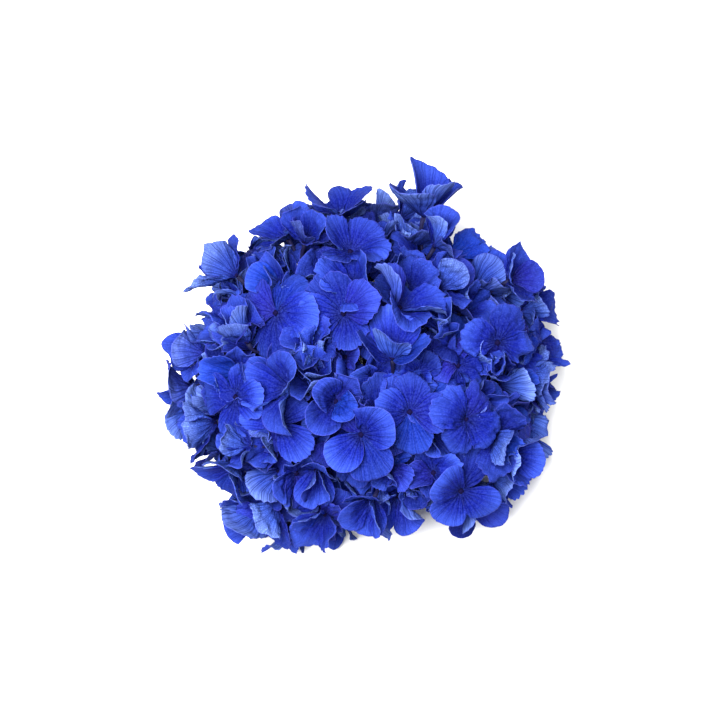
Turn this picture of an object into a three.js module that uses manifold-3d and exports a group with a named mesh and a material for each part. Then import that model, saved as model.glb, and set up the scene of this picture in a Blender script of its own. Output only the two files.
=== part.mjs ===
// A preserved hydrangea flower head, cut with a short stem and resting face up on its lower
// florets. Millimetres, +Z up. The origin is at the centre of its box's underside.
import * as THREE from 'three';
import { mergeVertices } from 'three/addons/utils/BufferGeometryUtils.js';
import Module from 'manifold-3d';

const wasm = await Module();
wasm.setup();

// The dome on which the florets' centres lie: half axes, and its middle's height.
const DOME = { x: 76, y: 74, z: 56, height: 38 };
const LOWEST_FLORET = 113; // degrees from the top of the dome
const FLORETS = 112;
const CYME_FLORETS = 3; // at most
const CYME_REACH = 34; // florets share a cyme if their centres are this close
const RESTING_FLORETS = 18; // the lowest ones, whose sepals press flat on the surface below
const PRESSED = 1.2; // how far their sepals would reach below that surface
const GOLDEN_ANGLE = 180 * (3 - Math.sqrt(5));

// One floret: four broad sepals round a small button.
const FLORET_RADIUS = 17.4;
const SEPAL_THICKNESS = 0.9;
const NOTCH_DEPTH = 0.36; // how far the gap between two sepals reaches in, of the radius
const OUTLINE_POINTS = 12;
const LAYERS = 3; // florets lie at this many depths, which keeps neighbours apart
const LAYER_STEP = 5.5;
const DEEPER_SMALLER = 0.3; // a floret's radius shrinks by this for each unit of depth

// Places where the head swells out or falls in: the direction, how wide, and how far.
const SWELLS = [
  { azimuth: 72, polar: 64, spread: 14, rise: 5 },
  { azimuth: 30, polar: 84, spread: 14, rise: -3 },
  { azimuth: 55, polar: 84, spread: 12, rise: -8 },
  { azimuth: 132, polar: 84, spread: 12, rise: 1 },
  { azimuth: 216, polar: 90, spread: 14, rise: 8 },
  { azimuth: 250, polar: 92, spread: 11, rise: -6 },
  { azimuth: 180, polar: 84, spread: 18, rise: 2 },
  { azimuth: 150, polar: 88, spread: 9, rise: 2 },
  { azimuth: 285, polar: 80, spread: 13, rise: -20 },
  { azimuth: 285, polar: 104, spread: 16, rise: -42 },
  { azimuth: 311, polar: 90, spread: 11, rise: 7 },
  { azimuth: 332, polar: 90, spread: 9, rise: -9 },
  { azimuth: 357, polar: 88, spread: 12, rise: 8 },
  { azimuth: 12, polar: 88, spread: 10, rise: 5 },
  { azimuth: 92, polar: 70, spread: 10, rise: -2 },
  { azimuth: 106, polar: 84, spread: 10, rise: 4 },
];

// Florets that stand out: the direction in which each lies (azimuth, polar), how far it stands
// proud, the direction it faces, its radius, spin and cupping.
const NOTABLE = [
  { at: [320, 10], rise: 1, facing: [95, 30], radius: 20.5, spin: 305, cup: 7 },
  { at: [304, 66], rise: 1, facing: [292, 38], radius: 18.5, spin: 15, cup: 3 },
  { at: [130, 12], rise: 0, facing: [210, 26], radius: 18, spin: 60, cup: 3 },
  { at: [160, 32], rise: 2, facing: [185, 36], radius: 19.5, spin: 20, cup: 3 },
  { at: [100, 34], rise: 2, facing: [70, 30], radius: 18, spin: 10, cup: 7 },
  { at: [300, 28], rise: -2, facing: [290, 14], radius: 17, spin: 40, cup: 3 },
  { at: [266, 32], rise: -1, facing: [250, 30], radius: 18, spin: 70, cup: 7 },
  { at: [222, 42], rise: -1, facing: [225, 30], radius: 17, spin: 5, cup: 3 },
  { at: [200, 50], rise: 1, facing: [190, 44], radius: 19, spin: 30, cup: 3 },
  { at: [30, 60], rise: 7, facing: [10, 48], radius: 15, spin: 50, cup: 9 },
  { at: [70, 62], rise: 6, facing: [72, 60], radius: 20.5, spin: 350, cup: 9 },
  { at: [326, 70], rise: 1, facing: [320, 52], radius: 17.5, spin: 60, cup: 7 },
  { at: [8, 58], rise: 3, facing: [352, 44], radius: 20.5, spin: 25, cup: 2 },
  { at: [176, 42], rise: 1, facing: [120, 56], radius: 17.5, spin: 35, cup: 9 },
  { at: [100, 58], rise: 3, facing: [100, 52], radius: 19.5, spin: 75, cup: 7 },
  { at: [322, 42], rise: 2, facing: [318, 32], radius: 19.5, spin: 10, cup: 2 },
  { at: [146, 60], rise: 4, facing: [140, 74], radius: 17.5, spin: 0, cup: 9 },
  { at: [220, 68], rise: 3, facing: [230, 84], radius: 19, spin: 20, cup: 9 },
  { at: [238, 76], rise: 0, facing: [222, 86], radius: 18, spin: 60, cup: 9 },
  { at: [203, 66], rise: 2, facing: [200, 80], radius: 18.5, spin: 40, cup: 9 },
  { at: [255, 72], rise: -3, facing: [258, 62], radius: 17.5, spin: 5, cup: 9 },
];

// The parts that carry the florets.
const STEM = { radius: 3.4, cutHeight: 3, hubHeight: 27, hubRadius: 5.2 };
const BRANCH_RADIUS = 1.8;
const BRANCH_KNOB_RADIUS = 2.8;
const BRANCH_LENGTH = 27;
const SIDE_BRANCHES = 6;
const SIDE_BRANCH_POLAR = 66;
const PEDUNCLE_RADIUS = 0.9;
const PEDICEL_RADIUS = 0.7;
const STALK_SIDES = 4;
const FORK_DEPTH = 20; // a cyme forks this far below its florets
const GAP = 0.35; // clear space between neighbouring pieces

const petal = { color: 0x2a3bc4, roughness: 0.62, metalness: 0 };
const stalk = { color: 0x3a3140, roughness: 0.8, metalness: 0 };

const radians = THREE.MathUtils.degToRad;

// A repeatable value from 0 to 1 for one floret and one of its features.
function scatter(floret, feature) {
  let h = Math.imul(floret + 1, 0x9e3779b1) ^ Math.imul(feature + 1, 0x85ebca6b);
  h = Math.imul(h ^ (h >>> 15), 0xc2b2ae35);
  h = Math.imul(h ^ (h >>> 13), 0x27d4eb2f);
  return ((h ^ (h >>> 16)) >>> 0) / 4294967296;
}

// The same value spread evenly from -reach to +reach.
function jitter(floret, feature, reach) {
  return (2 * scatter(floret, feature) - 1) * reach;
}

// The unit vector at these angles: azimuth from +X towards +Y, polar down from +Z.
function direction(azimuth, polar) {
  const [a, p] = [radians(azimuth), radians(polar)];
  return new THREE.Vector3(Math.cos(a) * Math.sin(p), Math.sin(a) * Math.sin(p), Math.cos(p));
}

function swell(along) {
  let rise = 0;
  for (const place of SWELLS) {
    const angle = THREE.MathUtils.radToDeg(along.angleTo(direction(place.azimuth, place.polar)));
    rise += place.rise * Math.exp(-((angle / place.spread) ** 2));
  }
  return rise;
}

// The way the dome's surface faces where the middle of the dome sees it in this direction.
function outward(along) {
  return new THREE.Vector3(along.x / DOME.x, along.y / DOME.y, along.z / DOME.z).normalize();
}

// The place in this direction that is so far outside the dome's surface.
function domePoint(along, rise) {
  const point = new THREE.Vector3(along.x * DOME.x, along.y * DOME.y, along.z * DOME.z);
  point.addScaledVector(outward(along), rise);
  point.z += DOME.height;
  return point;
}

// Where floret number i sits, which way it faces, and its own size and cupping.
function plainFloret(i) {
  const lowest = Math.cos(radians(LOWEST_FLORET));
  const height = 1 - ((i + 0.5) / FLORETS) * (1 - lowest);
  const polar = THREE.MathUtils.radToDeg(Math.acos(height)) + jitter(i, 0, 4);
  const along = direction(i * GOLDEN_ANGLE + jitter(i, 1, 5), polar);
  const depth = (i % LAYERS) * LAYER_STEP;
  const centre = domePoint(along, swell(along) - depth + jitter(i, 2, 2));
  const lean = new THREE.Vector3(jitter(i, 3, 0.8), jitter(i, 4, 0.8), jitter(i, 5, 0.4));
  const facing = outward(along).add(lean).normalize();
  const radius = FLORET_RADIUS * (1 + jitter(i, 7, 0.15)) - DEEPER_SMALLER * depth;
  const cup = 3.5 + jitter(i, 8, 4);
  if (i >= FLORETS - RESTING_FLORETS) {
    const drop = radius * Math.sqrt(1 - facing.z * facing.z) - cup * facing.z;
    centre.z = drop - PRESSED;
  }
  const [spin, wave] = [scatter(i, 6) * 90, jitter(i, 9, 2)];
  return { along, centre, facing, depth, spin, radius, cup, wave };
}

// Every floret. Each notable one takes the place of the plain one nearest to it.
function florets() {
  const all = Array.from({ length: FLORETS }, (_, i) => plainFloret(i));
  for (const { at, rise, facing, radius, spin, cup } of NOTABLE) {
    const along = direction(...at);
    const nearer = (a, b) => (a.along.dot(along) >= b.along.dot(along) ? a : b);
    const floret = all.filter((other) => !other.notable).reduce(nearer);
    const centre = domePoint(along, rise);
    const own = { notable: true, along, centre, facing: direction(...facing), depth: -rise };
    Object.assign(floret, own, { radius, spin, cup });
  }
  return all;
}

function solidOf(geometry) {
  geometry.deleteAttribute('normal');
  geometry.deleteAttribute('uv');
  const merged = mergeVertices(geometry, 1e-4);
  const corners = merged.index.array;
  const used = [];
  for (let i = 0; i < corners.length; i += 3) {
    const [a, b, c] = [corners[i], corners[i + 1], corners[i + 2]];
    if (a !== b && b !== c && c !== a) used.push(a, b, c);
  }
  return new wasm.Manifold(new wasm.Mesh({
    numProp: 3,
    vertProperties: new Float32Array(merged.attributes.position.array),
    triVerts: new Uint32Array(used),
  }));
}

function meshOf(name, solid, finish) {
  const { vertProperties, triVerts } = solid.getMesh();
  const geometry = new THREE.BufferGeometry();
  geometry.setAttribute('position', new THREE.BufferAttribute(vertProperties, 3));
  geometry.setIndex(new THREE.BufferAttribute(triVerts, 1));
  const mesh = new THREE.Mesh(geometry, new THREE.MeshStandardMaterial(finish));
  mesh.name = name;
  return mesh;
}

// A floret's four sepals as one thin lobed cup, grown by margin on every side.
function sepals(floret, margin) {
  const thickness = SEPAL_THICKNESS + 2 * margin;
  const geometry = new THREE.CylinderGeometry(1, 1, thickness, OUTLINE_POINTS, 1);
  geometry.rotateX(Math.PI / 2);
  const position = geometry.attributes.position;
  for (let i = 0; i < position.count; i += 1) {
    const [x, y, z] = [position.getX(i), position.getY(i), position.getZ(i)];
    const angle = Math.atan2(y, x);
    const lobe = 1 - NOTCH_DEPTH * Math.cos(2 * angle) ** 4;
    const out = Math.hypot(x, y) * lobe;
    const reach = Math.hypot(x, y) * (lobe * floret.radius + margin);
    const lift = floret.cup * out * out + floret.wave * Math.cos(2 * angle) * out;
    position.setXYZ(i, reach * Math.cos(angle), reach * Math.sin(angle), z + lift);
  }
  const upright = new THREE.Quaternion();
  upright.setFromUnitVectors(new THREE.Vector3(0, 0, 1), floret.facing);
  geometry.rotateZ(radians(floret.spin));
  geometry.applyQuaternion(upright);
  geometry.translate(floret.centre.x, floret.centre.y, floret.centre.z);
  return solidOf(geometry);
}

// A straight stalk with a few flat sides, grown by margin.
function tube({ from, to, radius }, margin) {
  const round = new THREE.Path().absarc(0, 0, radius + margin, 0, 2 * Math.PI);
  const section = new THREE.Shape(round.getSpacedPoints(STALK_SIDES).slice(0, STALK_SIDES));
  const extrudePath = new THREE.LineCurve3(from, to);
  return solidOf(new THREE.ExtrudeGeometry(section, { extrudePath, steps: 1 }));
}

function knob(centre, radius) {
  const ball = new THREE.IcosahedronGeometry(radius, 1);
  ball.translate(centre.x, centre.y, centre.z);
  return solidOf(ball);
}

const hub = new THREE.Vector3(0, 0, STEM.hubHeight);

function makeStem() {
  const profile = [[0, STEM.cutHeight], [STEM.radius, STEM.cutHeight],
    [STEM.radius, STEM.hubHeight - 8], [STEM.hubRadius, STEM.hubHeight - 2],
    [STEM.hubRadius, STEM.hubHeight + 1], [0, STEM.hubHeight + 4]];
  const lathe = new THREE.LatheGeometry(profile.map(([x, y]) => new THREE.Vector2(x, y)), 12);
  lathe.rotateX(Math.PI / 2);
  return solidOf(lathe);
}

function branchDirections() {
  const all = [new THREE.Vector3(0, 0, 1)];
  for (let i = 0; i < SIDE_BRANCHES; i += 1) {
    all.push(direction((i + 0.5) * (360 / SIDE_BRANCHES), SIDE_BRANCH_POLAR));
  }
  return all;
}

function makeBranch(along) {
  const start = hub.clone().addScaledVector(along, STEM.hubRadius + 1.6);
  const end = hub.clone().addScaledVector(along, BRANCH_LENGTH);
  const arm = tube({ from: start, to: end, radius: BRANCH_RADIUS }, 0);
  return { solid: arm.add(knob(end, BRANCH_KNOB_RADIUS)), end };
}

// The stalks of one cyme: a peduncle from the nearest branch, forking to each floret.
function cymeStalks(members, branchEnds) {
  const fork = new THREE.Vector3();
  for (const floret of members) fork.addScaledVector(floret.centre, 1 / members.length);
  fork.addScaledVector(hub.clone().sub(fork).normalize(), FORK_DEPTH);
  const nearest = (a, b) => (fork.distanceTo(a) < fork.distanceTo(b) ? a : b);
  const branchEnd = branchEnds.reduce(nearest);
  const away = fork.clone().sub(branchEnd).normalize();
  const start = branchEnd.clone().addScaledVector(away, BRANCH_KNOB_RADIUS + 1.2);
  const stalks = [{ from: start, to: fork, radius: PEDUNCLE_RADIUS }];
  for (const floret of members) {
    stalks.push({ from: fork, to: floret.centre, radius: PEDICEL_RADIUS });
  }
  return stalks;
}

function joined(solids) {
  return solids.reduce((a, b) => a.add(b));
}

function largestPiece(solid) {
  return solid.decompose().reduce((a, b) => (a.volume() > b.volume() ? a : b));
}

function boxesMeet(a, b) {
  const [p, q] = [a.boundingBox(), b.boundingBox()];
  return [0, 1, 2].every((k) => p.min[k] < q.max[k] && q.min[k] < p.max[k]);
}

// Takes out of a solid whatever the others in the list reach.
function clearOf(solid, others) {
  let left = solid;
  for (const other of others) {
    if (boxesMeet(left, other)) left = left.subtract(other);
  }
  return left;
}

// From the top down, each floret shares a cyme with its nearest free neighbours.
function gatherCymes(all) {
  const free = new Set(all);
  const cymes = [];
  for (const floret of all) {
    if (!free.has(floret)) continue;
    const distance = (other) => floret.centre.distanceTo(other.centre);
    const near = [...free].filter((other) => distance(other) < CYME_REACH);
    near.sort((p, q) => distance(p) - distance(q));
    const members = near.slice(0, CYME_FLORETS);
    members.forEach((member) => free.delete(member));
    cymes.push(members);
  }
  return cymes;
}

// Every cyme as one solid. Stalks keep their shape. Where two florets cross, the one nearer
// the outside keeps its shape, and the other is cut back to clear it.
function makeCymes(branchEnds) {
  const all = florets();
  const cymes = gatherCymes(all).map((members) => {
    const stalks = cymeStalks(members, branchEnds);
    const bare = joined(stalks.map((s) => tube(s, 0)));
    const stout = joined(stalks.map((s) => tube(s, GAP)));
    return { members, bare, stout };
  });
  const outFirst = [...all].sort((a, b) => a.depth - b.depth);
  const fat = new Map(all.map((floret) => [floret, sepals(floret, GAP)]));
  return cymes.map((cyme, number) => {
    const stalksInTheWay = cymes.filter((other) => other !== cyme).map((other) => other.stout);
    const earlier = cymes.slice(0, number).map((other) => other.stout);
    const blades = cyme.members.map((floret) => {
      const above = outFirst.slice(0, outFirst.indexOf(floret));
      const others = above.filter((other) => !cyme.members.includes(other));
      return clearOf(sepals(floret, 0), [...stalksInTheWay, ...others.map((o) => fat.get(o))]);
    });
    const whole = joined([clearOf(cyme.bare, earlier), ...blades]);
    return largestPiece(whole.trimByPlane([0, 0, 1], 0));
  });
}

const head = new THREE.Group();
const branches = branchDirections().map(makeBranch);
head.add(meshOf('stem', makeStem(), stalk));
branches.forEach(({ solid }, i) => head.add(meshOf(`branch_${i + 1}`, solid, stalk)));
makeCymes(branches.map(({ end }) => end)).forEach((solid, i) => {
  head.add(meshOf(`cyme_${String(i + 1).padStart(2, '0')}`, solid, petal));
});

// The origin goes under the middle of the head's box.
const middle = new THREE.Box3().setFromObject(head).getCenter(new THREE.Vector3());
head.position.set(-middle.x, -middle.y, 0);

export default head;
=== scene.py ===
"""A preserved blue hydrangea head, resting face up on its lower florets.

Lengths are in millimetres until a mesh is made; MM turns them into metres."""

import math

import bpy
import numpy as np
from mathutils.bvhtree import BVHTree
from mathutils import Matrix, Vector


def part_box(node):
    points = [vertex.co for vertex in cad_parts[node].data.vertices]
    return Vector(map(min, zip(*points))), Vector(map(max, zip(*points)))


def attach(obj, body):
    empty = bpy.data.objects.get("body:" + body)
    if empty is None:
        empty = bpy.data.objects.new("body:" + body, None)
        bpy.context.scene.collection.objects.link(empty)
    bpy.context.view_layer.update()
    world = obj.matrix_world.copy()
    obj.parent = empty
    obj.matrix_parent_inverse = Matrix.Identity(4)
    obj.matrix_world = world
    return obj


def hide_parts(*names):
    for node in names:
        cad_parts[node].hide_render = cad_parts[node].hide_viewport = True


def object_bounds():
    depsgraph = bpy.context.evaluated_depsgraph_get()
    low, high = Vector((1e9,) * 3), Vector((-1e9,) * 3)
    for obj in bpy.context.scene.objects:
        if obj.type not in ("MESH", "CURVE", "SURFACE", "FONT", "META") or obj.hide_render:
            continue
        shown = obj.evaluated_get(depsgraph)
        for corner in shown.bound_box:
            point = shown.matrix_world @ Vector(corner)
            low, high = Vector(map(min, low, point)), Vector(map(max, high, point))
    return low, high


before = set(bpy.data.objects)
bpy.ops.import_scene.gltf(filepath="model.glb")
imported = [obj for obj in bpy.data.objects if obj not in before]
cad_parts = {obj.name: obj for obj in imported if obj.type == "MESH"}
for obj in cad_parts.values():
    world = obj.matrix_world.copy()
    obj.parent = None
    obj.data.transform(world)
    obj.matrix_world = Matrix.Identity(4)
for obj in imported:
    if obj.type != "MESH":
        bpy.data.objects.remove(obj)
cad_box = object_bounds()

MM = 0.001
SEED = 7

# ---------------------------------------------------------------- camera, light and floor

VIEW_ELEVATION = 72  # degrees above the floor
VIEW_DISTANCE = 0.95
VIEW_WIDTH = 0.3135  # metres across the picture at the head
SENSOR = 36
LIT_PLACE = (0, 0, 0.05)
SKY_STRENGTH = 0.19
FLOOR_REACH = 3.0  # metres from the middle of the floor to its sides


def make_camera():
    low, high = (np.array(corner) for corner in cad_box)
    target = (low + high) / 2
    rise = math.radians(VIEW_ELEVATION)
    camera = bpy.data.objects.new("camera", bpy.data.cameras.new("camera"))
    camera.data.sensor_width = SENSOR
    camera.data.lens = SENSOR * VIEW_DISTANCE / VIEW_WIDTH
    camera.data.clip_start = 0.01
    camera.location = target + VIEW_DISTANCE * np.array([0, -math.cos(rise), math.sin(rise)])
    camera.rotation_euler = (math.pi / 2 - rise, 0, 0)
    bpy.context.collection.objects.link(camera)
    bpy.context.scene.camera = camera


def add_area_light(name, place, size, watts):
    """A round lamp at a place in metres that shines on the head."""
    lamp = bpy.data.lights.new(name, "AREA")
    lamp.shape = "DISK"
    lamp.size = size
    lamp.energy = watts
    light = bpy.data.objects.new(name, lamp)
    light.location = place
    x, y, z = np.array(LIT_PLACE) - np.array(place)
    turn = math.atan2(y, x) - math.pi / 2
    light.rotation_euler = (math.atan2(math.hypot(x, y), -z), 0, turn)
    bpy.context.collection.objects.link(light)


def make_lights():
    add_area_light("key", (-0.24, -0.22, 1.1), 0.65, 49.5)
    add_area_light("fill", (0.55, 0.45, 0.75), 0.8, 6)
    world = bpy.data.worlds.new("studio")
    world.use_nodes = True
    background = world.node_tree.nodes["Background"]
    background.inputs["Color"].default_value = (1, 1, 1, 1)
    background.inputs["Strength"].default_value = SKY_STRENGTH
    bpy.context.scene.world = world
    bpy.context.scene.view_settings.view_transform = "Standard"


def make_floor():
    mesh = bpy.data.meshes.new("floor")
    r = FLOOR_REACH
    mesh.from_pydata([(-r, -r, 0), (r, -r, 0), (r, r, 0), (-r, r, 0)], [], [(0, 1, 2, 3)])
    floor = bpy.data.objects.new("floor", mesh)
    bpy.context.collection.objects.link(floor)
    material = bpy.data.materials.new("floor")
    material.use_nodes = True
    surface = material.node_tree.nodes["Principled BSDF"]
    surface.inputs["Base Color"].default_value = (0.88, 0.88, 0.88, 1)
    surface.inputs["Roughness"].default_value = 0.9
    surface.inputs["Specular IOR Level"].default_value = 0.1
    mesh.materials.append(material)


# ---------------------------------------------------------------- where the florets sit

DOME = np.array([76.0, 74.0, 56.0])
DOME_HEIGHT = 38.0
LOWEST_FLORET = 113  # degrees from straight up
FLORETS = 112
CYME_REACH = 34
CYME_FLORETS = 3
RESTING_FLORETS = 18
PRESSED = 1.2  # how far the resting florets are pressed down
GOLDEN_ANGLE = 180 * (3 - math.sqrt(5))
FLORET_RADIUS = 17.4
CUP = 3.5  # how far a floret's edge stands out from its middle
INNER_FLORETS = 150
INNER_DEPTHS = [12, 14, 27]
LOWEST_INNER = 105
INNER_TURN = 60
INNER_CUP = 6
INNER_PAINTED_SHADE = 0.15  # painted shade: how much darker the inner florets are coloured, standing in for the shadow far inside the head
LAYERS = 3
LAYER_STEP = 5.5
DEEPER_SMALLER = 0.3
SWELLS = [  # azimuth and polar angle, how wide, and how far
    (72, 64, 14, 5),
    (30, 84, 14, -3),
    (55, 84, 12, -8),
    (132, 84, 12, 1),
    (216, 90, 14, 8),
    (250, 92, 11, -6),
    (180, 84, 18, 2),
    (150, 88, 9, 2),
    (285, 80, 13, -20),
    (285, 104, 16, -42),
    (311, 90, 11, 7),
    (332, 90, 9, -9),
    (357, 88, 12, 8),
    (12, 88, 10, 5),
    (92, 70, 10, -2),
    (106, 84, 10, 4),
]
# Florets that stand out: where on the dome, how proud, which way they face, their radius, spin
# and habit.
NOTABLE = [
    ((320, 10), 1, (95, 30), 20.5, 305, "bowl"),
    ((304, 66), 1, (292, 38), 18.5, 15, "open"),
    ((130, 12), 0, (210, 26), 18.0, 60, "open"),
    ((160, 32), 2, (185, 36), 19.5, 20, "open"),
    ((100, 34), 2, (70, 30), 18.0, 10, "bowl"),
    ((300, 28), -2, (290, 14), 17.0, 40, "open"),
    ((266, 32), -1, (250, 30), 18.0, 70, "bowl"),
    ((222, 42), -1, (225, 30), 17.0, 5, "open"),
    ((200, 50), 1, (190, 44), 19.0, 30, "open"),
    ((30, 60), 7, (10, 48), 15.0, 50, "cupped"),
    ((70, 62), 6, (72, 60), 20.5, 350, "pointed"),
    ((326, 70), 1, (320, 52), 17.5, 60, "bowl"),
    ((8, 58), 3, (352, 44), 20.5, 25, "reflexed"),
    ((176, 42), 1, (120, 56), 17.5, 35, "cupped"),
    ((100, 58), 3, (100, 52), 19.5, 75, "bowl"),
    ((322, 42), 2, (318, 32), 19.5, 10, "reflexed"),
    ((146, 60), 4, (140, 74), 17.5, 0, "pointed"),
    ((220, 68), 3, (230, 84), 19.0, 20, "cupped"),
    ((238, 76), 0, (222, 86), 18.0, 60, "cupped"),
    ((203, 66), 2, (200, 80), 18.5, 40, "cupped"),
    ((255, 72), -3, (258, 62), 17.5, 5, "cupped"),
]
SET_HABITS = {50: "bowl", 73: "bowl", 76: "bowl"}  # by number; the others' come by chance
SMALLER_SEPALS = {(73, 1): 0.72, (76, 2): 0.5, (97, 3): 0.7, (103, 3): 0.75}
HUB = np.array([0.0, 0.0, 27.0])
BRANCH_LENGTH = 27
SIDE_BRANCHES = 6
SIDE_BRANCH_POLAR = 66
FORK_DEPTH = 20


def scatter(floret, feature):
    """A repeatable value from 0 to 1, the one that the CAD model uses."""
    def imul(a, b):
        return (a * b) & 0xFFFFFFFF
    h = imul(floret + 1, 0x9E3779B1) ^ imul(feature + 1, 0x85EBCA6B)
    h = imul(h ^ (h >> 15), 0xC2B2AE35)
    h = imul(h ^ (h >> 13), 0x27D4EB2F)
    return (h ^ (h >> 16)) / 4294967296


def jitter(floret, feature, reach):
    """A repeatable value within reach of 0, for one numbered feature of a floret."""
    return (2 * scatter(floret, feature) - 1) * reach


def unit(v):
    return v / np.linalg.norm(v)


def direction(azimuth, polar):
    a, p = math.radians(azimuth), math.radians(polar)
    return np.array([math.cos(a) * math.sin(p), math.sin(a) * math.sin(p), math.cos(p)])


def swell(along):
    """How far the head stands out of the plain dome in this direction."""
    rise = 0
    for azimuth, polar, spread, height in SWELLS:
        angle = math.degrees(math.acos(np.clip(along @ direction(azimuth, polar), -1, 1)))
        rise += height * math.exp(-((angle / spread) ** 2))
    return rise


def dome_point(along, rise):
    """The place on the dome in this direction, so far outside its surface."""
    return along * DOME + unit(along / DOME) * rise + [0, 0, DOME_HEIGHT]


def floret_layout():
    """Each floret's centre, facing, spin, radius and cupping, as the CAD model has them."""
    found = []
    lowest = math.cos(math.radians(LOWEST_FLORET))
    for i in range(FLORETS):
        height = 1 - ((i + 0.5) / FLORETS) * (1 - lowest)
        polar = math.degrees(math.acos(height)) + jitter(i, 0, 4)
        along = direction(i * GOLDEN_ANGLE + jitter(i, 1, 5), polar)
        depth = (i % LAYERS) * LAYER_STEP
        centre = dome_point(along, swell(along) - depth + jitter(i, 2, 2))
        lean = [jitter(i, 3, 0.8), jitter(i, 4, 0.8), jitter(i, 5, 0.4)]
        facing = unit(unit(along / DOME) + lean)
        radius = FLORET_RADIUS * (1 + jitter(i, 7, 0.15)) - DEEPER_SMALLER * depth
        cup = CUP + jitter(i, 8, 4)
        if i >= FLORETS - RESTING_FLORETS:
            centre[2] = radius * math.sqrt(1 - facing[2] ** 2) - cup * facing[2] - PRESSED
        found.append({
            "centre": centre, "facing": facing, "along": along, "radius": radius,
            "spin": scatter(i, 6) * 90, "cup": cup, "number": i + 1, "habit": None, "shade": 0,
        })
    for place, rise, face, radius, spin, habit in NOTABLE:
        along = direction(*place)
        free = [floret for floret in found if floret["habit"] is None]
        floret = max(free, key=lambda other: other["along"] @ along)
        floret.update(centre=dome_point(along, rise), facing=direction(*face), along=along,
                      radius=radius, spin=spin, habit=habit)
    return found


def inner_layout():
    """The smaller florets deeper in the head, which close it behind the outer ones."""
    found = []
    lowest = math.cos(math.radians(LOWEST_INNER))
    for i in range(INNER_FLORETS):
        height = 1 - ((i + 0.5) / INNER_FLORETS) * (1 - lowest)
        polar = math.degrees(math.acos(height))
        along = direction(i * GOLDEN_ANGLE + INNER_TURN + jitter(i, 11, 12), polar)
        depth = INNER_DEPTHS[i % len(INNER_DEPTHS)]
        centre = dome_point(along, swell(along) - depth + jitter(i, 12, 4))
        lean = [jitter(i, 13, 0.4), jitter(i, 14, 0.4), jitter(i, 15, 0.4)]
        found.append({
            "centre": centre, "facing": unit(unit(along / DOME) + lean), "along": along,
            "radius": FLORET_RADIUS * (1 + jitter(i, 16, 0.08)), "spin": scatter(i, 17) * 90,
            "cup": INNER_CUP + jitter(i, 18, 3), "number": FLORETS + i + 1, "habit": None,
            "shade": INNER_PAINTED_SHADE,
        })
    return found


def gather_cymes(florets):
    """The florets of each cyme: from the top down, each takes its nearest free neighbours."""
    centres = np.array([floret["centre"] for floret in florets])
    free = list(range(len(florets)))
    cymes = []
    while free:
        away = np.linalg.norm(centres - centres[free[0]], axis=1)
        near = [i for i in sorted(free, key=lambda i: away[i]) if away[i] < CYME_REACH]
        cyme = near[:CYME_FLORETS]
        free = [i for i in free if i not in cyme]
        cymes.append([florets[i] for i in cyme])
    return cymes


def nearest_cyme(floret, cymes):
    """The number of the cyme whose florets come nearest to this one."""
    def away(k):
        return min(np.linalg.norm(other["centre"] - floret["centre"]) for other in cymes[k])
    return min(range(len(cymes)), key=away)


def stem_axis():
    """The stem's place in the frame, where the CAD model put the middle of the layout."""
    low, high = (np.array(corner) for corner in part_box("stem"))
    return np.array([(low[0] + high[0]) / 2, (low[1] + high[1]) / 2, 0]) / MM


# ---------------------------------------------------------------- the shape of one sepal

SEPALS = 4
EDGE_COLUMNS = 0.985  # how much of a sepal's spread its grid covers
SEPAL_HALF_THICKNESS = 0.13
BASE_RADIUS = 0.9  # where a sepal leaves the floret's middle
TIP_WIDTH = 0.16  # radians
TOOTH_LEAN = 0.35
VEINS = 7
PROFILE_END = 1.3  # how far a sepal's side view is worked out, in its lengths
PROFILE_STEPS = 50  # for each sepal length
TIP_BENDS_FROM = 0.55
FLATTEST_ROLL = 1e-4


class Grid:
    """Rows from a sepal's base to its edge and columns across it."""

    def __init__(self, rows, columns, even=False):
        self.rows, self.columns = rows, columns
        self.t = np.linspace(0, 1, rows)[:, None]
        self.c = np.linspace(-1, 1, columns)[None, :]
        if even:
            self.c = np.arcsin(self.c) * 2 / math.pi
        self.spoke = np.sin(self.c * math.pi / 2)  # -1 to 1, even in angle


FINE = Grid(23, 47)
INNER = Grid(13, 35)
COARSE = Grid(7, 11, even=True)  # its rows from the second on are the points that crowding moves

HABITS = {
    "open": dict(rise=(0, 16), curl=(-40, 10), roll=(-0.045, 0.01), keel=(-0.1, 0.12)),
    "bowl": dict(rise=(18, 38), curl=(-35, 25), roll=(0.0, 0.045), keel=(-0.05, 0.1)),
    "cupped": dict(rise=(22, 46), curl=(-35, 25), roll=(0.01, 0.06), keel=(-0.05, 0.2)),
    "reflexed": dict(rise=(5, 40), curl=(-130, -50), roll=(-0.07, -0.02), keel=(-0.2, 0.0)),
    "folded": dict(rise=(10, 40), curl=(-40, 20), roll=(0.02, 0.08), keel=(0.25, 0.7)),
    "pointed": dict(rise=(22, 46), curl=(-30, 15), roll=(0.01, 0.05), keel=(0.1, 0.35)),
}
TOP_HABITS = dict(open=0.12, bowl=0.24, cupped=0.2, reflexed=0.22, folded=0.22)
RIM_HABITS = dict(open=0.08, bowl=0.22, cupped=0.34, reflexed=0.14, folded=0.22)
SERRATED_SHARE = 0.5
POINTED_SHARE = 0.14
STRAY_SHARE = 0.3  # how many sepals stand well above or below their sisters


def pick_habit(rng, floret):
    """One of the habits by chance, by its share at the floret's place on the dome."""
    rim = min(1, max(0, 1.15 - floret["along"][2]))
    shares = {h: TOP_HABITS[h] * (1 - rim) + RIM_HABITS[h] * rim for h in TOP_HABITS}
    total = sum(shares.values())
    return str(rng.choice(list(shares), p=[share / total for share in shares.values()]))


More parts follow.
